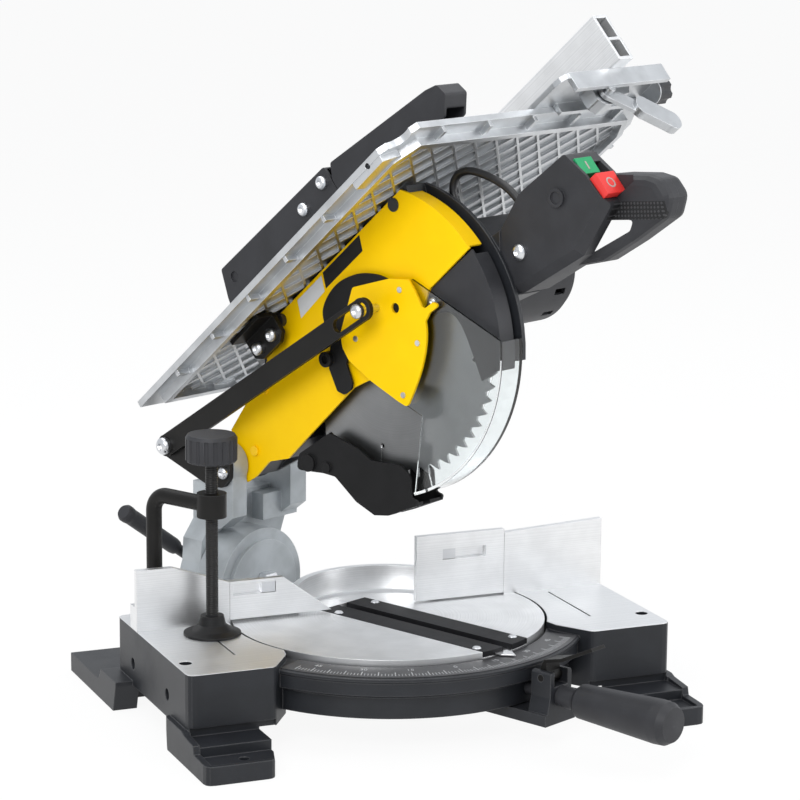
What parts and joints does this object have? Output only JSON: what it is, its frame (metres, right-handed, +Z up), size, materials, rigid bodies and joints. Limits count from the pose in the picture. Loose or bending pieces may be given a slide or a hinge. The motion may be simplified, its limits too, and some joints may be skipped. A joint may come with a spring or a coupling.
{
  "type": "mitre saw",
  "caption": "Combination mitre saw: a chop head that turns, tilts and swings down with a guarded blade, and a saw table with a rip fence on top of the head.",
  "frame": {"origin": "on the turntable axis at bench level, which is the centre of the bench bolt rectangle", "axes": "+X to the operator's right, +Y to the back of the saw, +Z up"},
  "size_m": [0.523, 0.6208, 0.6047],
  "materials": {
    "black_paint": "satin black paint on cast aluminium, machined bright on the work faces",
    "machined_aluminium": "machined casting",
    "grey_paint": "light grey silver paint on a casting",
    "zinc": "zinc plated",
    "black_steel": "black coated steel",
    "yellow_paint": "gloss warm yellow powder coat",
    "black_plastic": "fine textured moulding",
    "blade_steel": "radially ground",
    "steel": "plain",
    "clear": "clear polycarbonate",
    "red_plastic": "moulded",
    "green_plastic": "moulded",
    "rubber": "flexible lead sheath",
    "laminations": "varnished",
    "insert_plastic": "dark insert",
    "scale_print": "dark plate"
  },
  "bodies": {
    "base": {"base_casting": "black_paint", "mitre_scale": "scale_print", "fence": "machined_aluminium", "fence_bolts": "zinc", "turntable_bolt": "zinc"},
    "turntable": {"turntable": "machined_aluminium", "trunnion": "grey_paint", "mitre_arm": "black_paint", "kerf_inserts": "insert_plastic", "turntable_screws": "zinc", "mitre_pointer": "zinc"},
    "detent_lever": {"detent_lever": "black_steel"},
    "mitre_grip": {"mitre_grip": "black_plastic"},
    "tilt": {"tilt_arm": "grey_paint", "bevel_bolt": "zinc", "link_bracket": "black_steel", "tilt_bolts": "zinc", "pivot_pin": "steel", "return_spring": "steel"},
    "bevel_lever": {"bevel_lever": "black_plastic"},
    "head": {"head_casting": "black_paint", "blade_cover": "yellow_paint", "guard_nose": "black_plastic", "head_screws": "zinc", "gear_case": "black_paint", "motor_housing": "black_plastic", "stator": "laminations", "handle_left": "black_plastic", "handle_right": "black_plastic", "switch_lead": "rubber", "table_bracket": "black_paint", "bearings": "steel"},
    "blade": {"saw_blade": "blade_steel", "arbor": "steel", "blade_flanges": "steel", "arbor_gear": "steel"},
    "armature": {"armature": "steel"},
    "guard": {"lower_guard": "clear", "guard_hub": "black_plastic", "guard_sector": "yellow_paint", "guard_pin": "zinc"},
    "guard_link": {"guard_link": "black_steel"},
    "rear_flap": {"rear_flap": "black_plastic"},
    "start_button": {"start_button": "green_plastic"},
    "stop_button": {"stop_button": "red_plastic"},
    "table": {"upper_table": "machined_aluminium", "table_columns": "zinc", "riving_knife": "blade_steel", "upper_guard": "black_plastic", "table_hanger": "black_steel", "table_bolts": "zinc"},
    "guard_hood": {"guard_hood": "black_plastic"},
    "rip": {"rip_fence": "machined_aluminium", "rip_bracket": "grey_paint"},
    "rip_lever": {"rip_lever": "grey_paint"},
    "left_slide": {"left_slide": "machined_aluminium"},
    "right_slide": {"right_slide": "machined_aluminium"},
    "clamp_arm": {"clamp_arm": "black_steel"},
    "clamp_foot": {"clamp_foot": "black_plastic"},
    "clamp_screw": {"clamp_screw": "black_plastic"}
  },
  "joints": [
    {"name": "mitre", "type": "hinge", "parent": "base", "child": "turntable", "pos_m": [0, 0, 0.04], "axis": [0, 0, 1], "range_deg": [-70.5, 19.5]},
    {"name": "detent_press", "type": "hinge", "parent": "turntable", "child": "detent_lever", "pos_m": [0.08094, -0.16969, 0.06], "axis": [0.9026, 0.4305, 0], "range_deg": [0, 8], "stiffness_Nm_per_rad": 2, "springref_deg": -8.59},
    {"name": "grip_twist", "type": "hinge", "parent": "turntable", "child": "mitre_grip", "pos_m": [0.10763, -0.22565, 0.044], "axis": [0.4305, -0.9026, 0], "range_deg": [-120, 0]},
    {"name": "bevel", "type": "hinge", "parent": "turntable", "child": "tilt", "pos_m": [-0.0861, 0.18052, 0.076], "axis": [-0.4305, 0.9026, 0], "range_deg": [-25, 0]},
    {"name": "bevel_lock", "type": "hinge", "parent": "tilt", "child": "bevel_lever", "pos_m": [-0.09859, 0.20669, 0.076], "axis": [-0.4305, 0.9026, 0], "range_deg": [-30, 30]},
    {"name": "chop", "type": "hinge", "parent": "tilt", "child": "head", "pos_m": [-0.07835, 0.16427, 0.189], "axis": [0.9026, 0.4305, 0], "range_deg": [0, 41.2], "stiffness_Nm_per_rad": 14, "springref_deg": -137.51},
    {"name": "guard_open", "type": "hinge", "parent": "head", "child": "guard", "pos_m": [0.00008, -0.00016, 0.32855], "axis": [-0.9026, -0.4305, 0], "range_deg": [0, 70.2]},
    {"name": "link_swing", "type": "hinge", "parent": "tilt", "child": "guard_link", "pos_m": [-0.13913, 0.20109, 0.2003], "axis": [0.9026, 0.4305, 0], "range_deg": [0, 41]},
    {"name": "flap_swing", "type": "hinge", "parent": "head", "child": "rear_flap", "pos_m": [-0.03611, 0.07572, 0.20445], "axis": [-0.9026, -0.4305, 0], "range_deg": [0, 26.2]},
    {"name": "blade_spin", "type": "hinge", "parent": "head", "child": "blade", "pos_m": [0.00008, -0.00016, 0.32855], "axis": [0.9026, 0.4305, 0], "continuous": true},
    {"name": "motor_spin", "type": "hinge", "parent": "head", "child": "armature", "pos_m": [0.08216, 0.01357, 0.37522], "axis": [0.9026, 0.4305, 0], "continuous": true},
    {"name": "start_press", "type": "slide", "parent": "head", "child": "start_button", "axis": [-0.3239, 0.6791, -0.6587], "range_m": [0, 0.002], "stiffness_N_per_m": 800, "springref_m": -0.002},
    {"name": "stop_press", "type": "slide", "parent": "head", "child": "stop_button", "axis": [-0.3239, 0.6791, -0.6587], "range_m": [0, 0.004], "stiffness_N_per_m": 800, "springref_m": -0.002},
    {"name": "table_lift", "type": "slide", "parent": "head", "child": "table", "axis": [-0.2836, 0.5945, 0.7524], "range_m": [0, 0.025]},
    {"name": "hood_swing", "type": "hinge", "parent": "table", "child": "guard_hood", "pos_m": [-0.02914, 0.06108, 0.4592], "axis": [-0.9026, -0.4305, 0], "range_deg": [0, 30]},
    {"name": "rip_slide", "type": "slide", "parent": "table", "child": "rip", "axis": [0.9026, 0.4305, 0], "range_m": [-0.1, 0]},
    {"name": "rip_lock", "type": "hinge", "parent": "rip", "child": "rip_lever", "pos_m": [0.18872, -0.03562, 0.5393], "axis": [0.3239, -0.6791, 0.6587], "range_deg": [-40, 0]},
    {"name": "left_fence_slide", "type": "slide", "parent": "base", "child": "left_slide", "axis": [-1, 0, 0], "range_m": [-0.025, 0]},
    {"name": "right_fence_slide", "type": "slide", "parent": "base", "child": "right_slide", "axis": [1, 0, 0], "range_m": [-0.025, 0]},
    {"name": "clamp_swivel", "type": "hinge", "parent": "base", "child": "clamp_arm", "pos_m": [-0.198, 0.06, 0.1], "axis": [0, 0, 1], "range_deg": [-75, 0]},
    {"name": "clamp_feed", "type": "slide", "parent": "clamp_arm", "child": "clamp_foot", "axis": [0, 0, 1], "range_m": [0, 0.03]},
    {"name": "clamp_turn", "type": "hinge", "parent": "clamp_foot", "child": "clamp_screw", "pos_m": [-0.165, 0, 0.15], "axis": [0, 0, 1], "range_deg": [0, 5415]}
  ],
  "couplings": [
    {"joint": "guard_open", "follows": "chop", "ratio": 1.699},
    {"joint": "link_swing", "follows": "chop", "ratio": 0.788},
    {"joint": "flap_swing", "follows": "chop", "ratio": 0.63},
    {"joint": "motor_spin", "follows": "blade_spin", "ratio": -4},
    {"joint": "clamp_turn", "follows": "clamp_feed", "rad_per_m": 3141.6}
  ]
}
